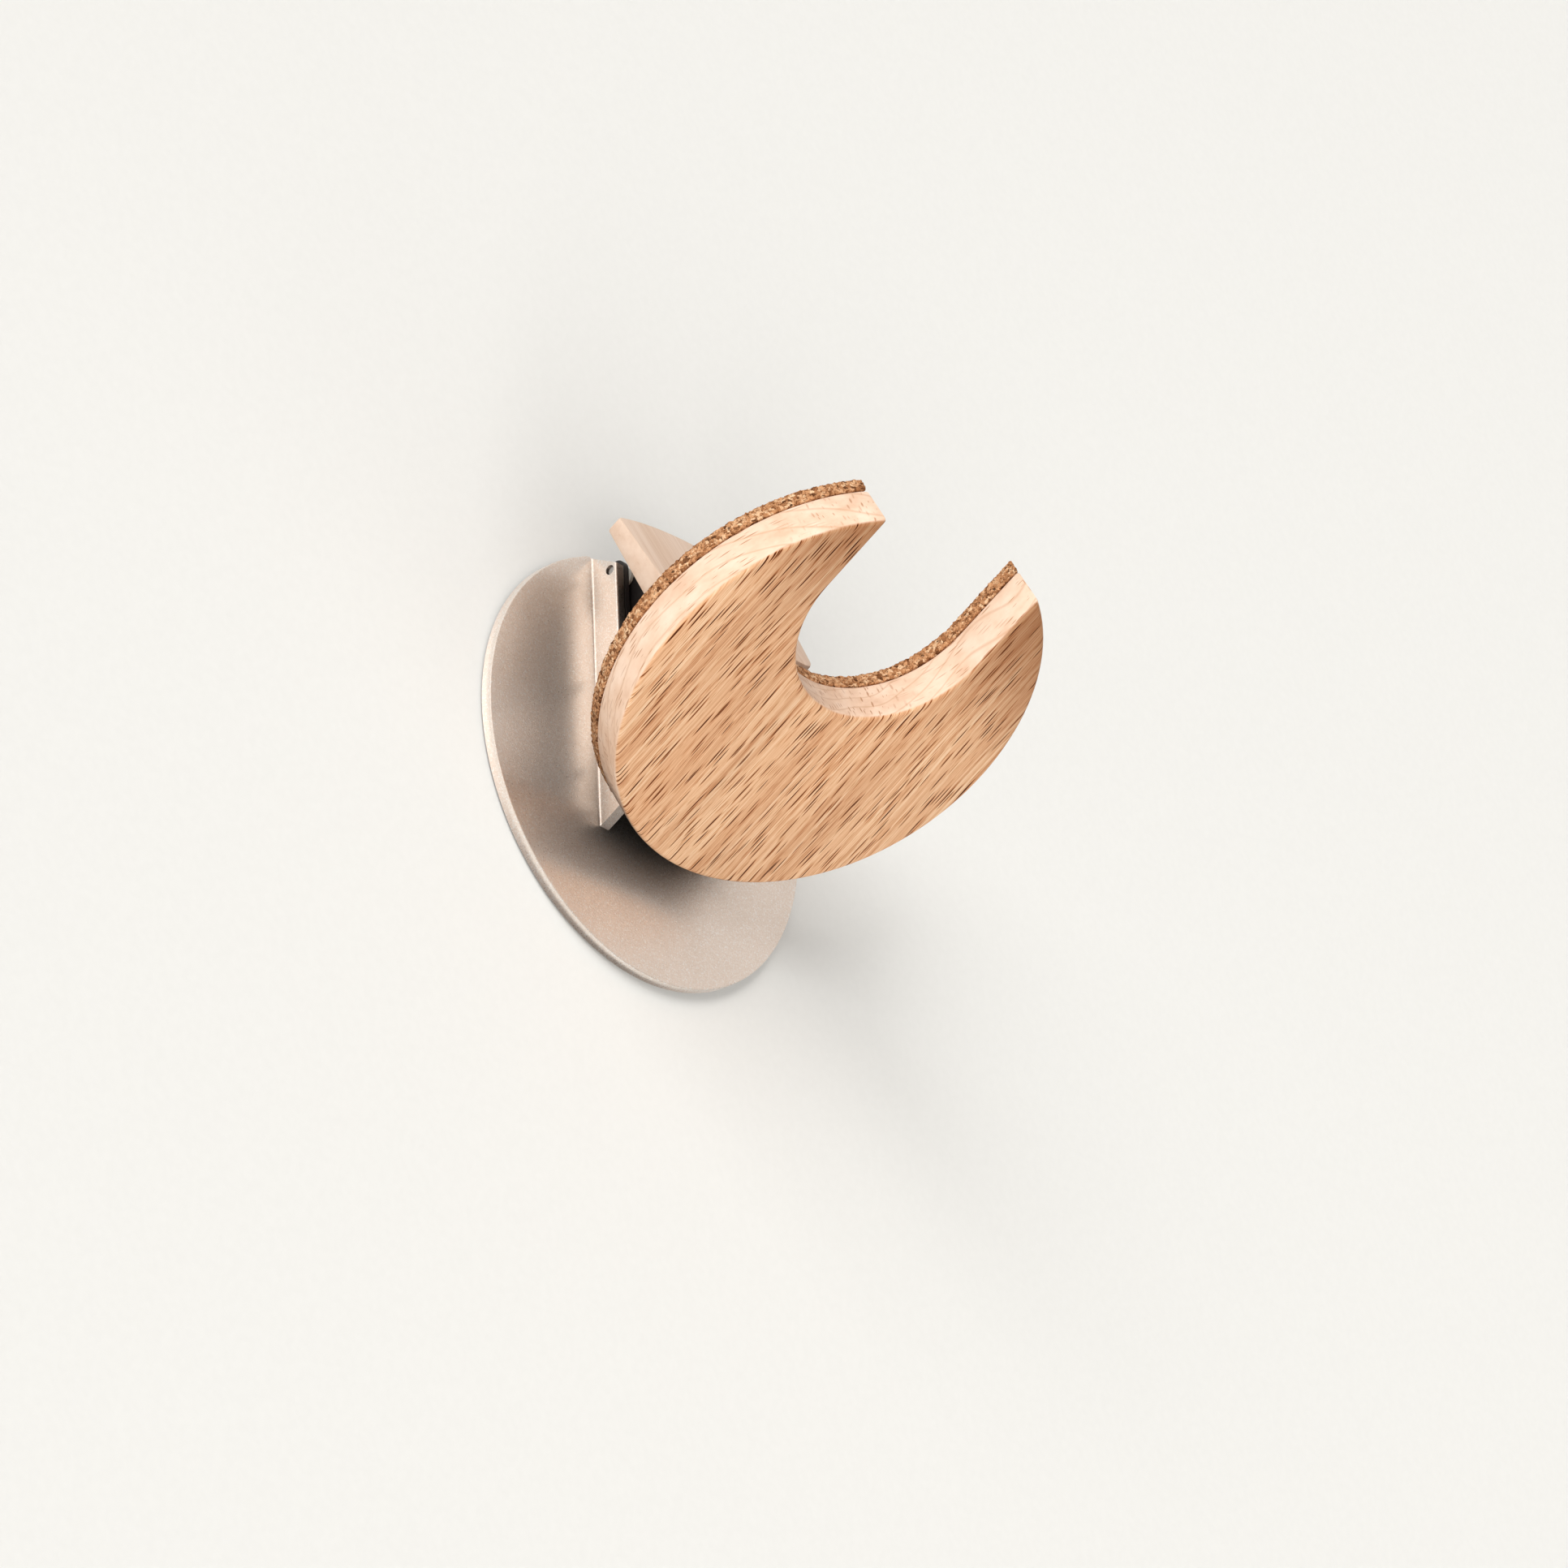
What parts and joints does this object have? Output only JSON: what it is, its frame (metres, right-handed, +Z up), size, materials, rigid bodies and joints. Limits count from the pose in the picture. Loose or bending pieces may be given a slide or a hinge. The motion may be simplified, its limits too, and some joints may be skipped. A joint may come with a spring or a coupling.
{
  "type": "wall guitar hanger",
  "caption": "Hinged wall hanger: a slotted wooden yoke with a cork pad and a back board, on a round metal wall plate, holds a guitar by its headstock.",
  "frame": {"origin": "centre of the round wall plate's back face, on the wall, on the flat back of the wall bracket's web", "axes": "+Z up, the wall is the plane y = 0 and its outside is towards -Y, +X to the right seen from the room"},
  "size_m": [0.11, 0.1022, 0.1113],
  "materials": {
    "plate_aluminium": "fine bead-blasted satin aluminium",
    "wall_bracket_steel": "black powder coat",
    "cradle_bracket_steel": "black powder coat",
    "pin_steel": "ground steel",
    "bush_bronze": "plain bronze",
    "washer_nylon": "natural nylon",
    "clip_spring_steel": "oiled spring steel",
    "oak": "lightly oiled oak with open pores",
    "cork": "raw granular cork sheet",
    "beech": "smooth sanded beech",
    "dowel_beech": "plain beech dowel",
    "board_screw_steel": "black oxide",
    "yoke_screw_steel": "black oxide",
    "washer_zinc": "bright zinc",
    "insert_brass": "plain brass"
  },
  "bodies": {
    "wall_mount": {"bracket_pin_lower_left": "pin_steel", "bracket_pin_lower_right": "pin_steel", "bracket_pin_upper_left": "pin_steel", "bracket_pin_upper_right": "pin_steel", "hinge_pin": "pin_steel", "pin_clip_left": "clip_spring_steel", "pin_clip_right": "clip_spring_steel", "thrust_washer_left": "washer_nylon", "thrust_washer_right": "washer_nylon", "wall_bracket": "wall_bracket_steel", "wall_plate": "plate_aluminium"},
    "cradle": {"back_board": "beech", "board_dowel_left": "dowel_beech", "board_dowel_right": "dowel_beech", "board_screw_1": "board_screw_steel", "board_screw_2": "board_screw_steel", "board_screw_3": "board_screw_steel", "board_screw_4": "board_screw_steel", "cork_pad": "cork", "cradle_bracket": "cradle_bracket_steel", "hinge_bush_left": "bush_bronze", "hinge_bush_right": "bush_bronze", "yoke": "oak", "yoke_insert_1": "insert_brass", "yoke_insert_2": "insert_brass", "yoke_insert_3": "insert_brass", "yoke_insert_4": "insert_brass", "yoke_screw_1": "yoke_screw_steel", "yoke_screw_2": "yoke_screw_steel", "yoke_screw_3": "yoke_screw_steel", "yoke_screw_4": "yoke_screw_steel", "yoke_screw_washer_1": "washer_zinc", "yoke_screw_washer_2": "washer_zinc", "yoke_screw_washer_3": "washer_zinc", "yoke_screw_washer_4": "washer_zinc"}
  },
  "joints": [
    {"name": "cradle_hinge", "type": "hinge", "parent": "wall_mount", "child": "cradle", "pos_m": [0, -0.0087, 0.046], "axis": [-1, 0, 0], "range_deg": [0, 60]}
  ]
}
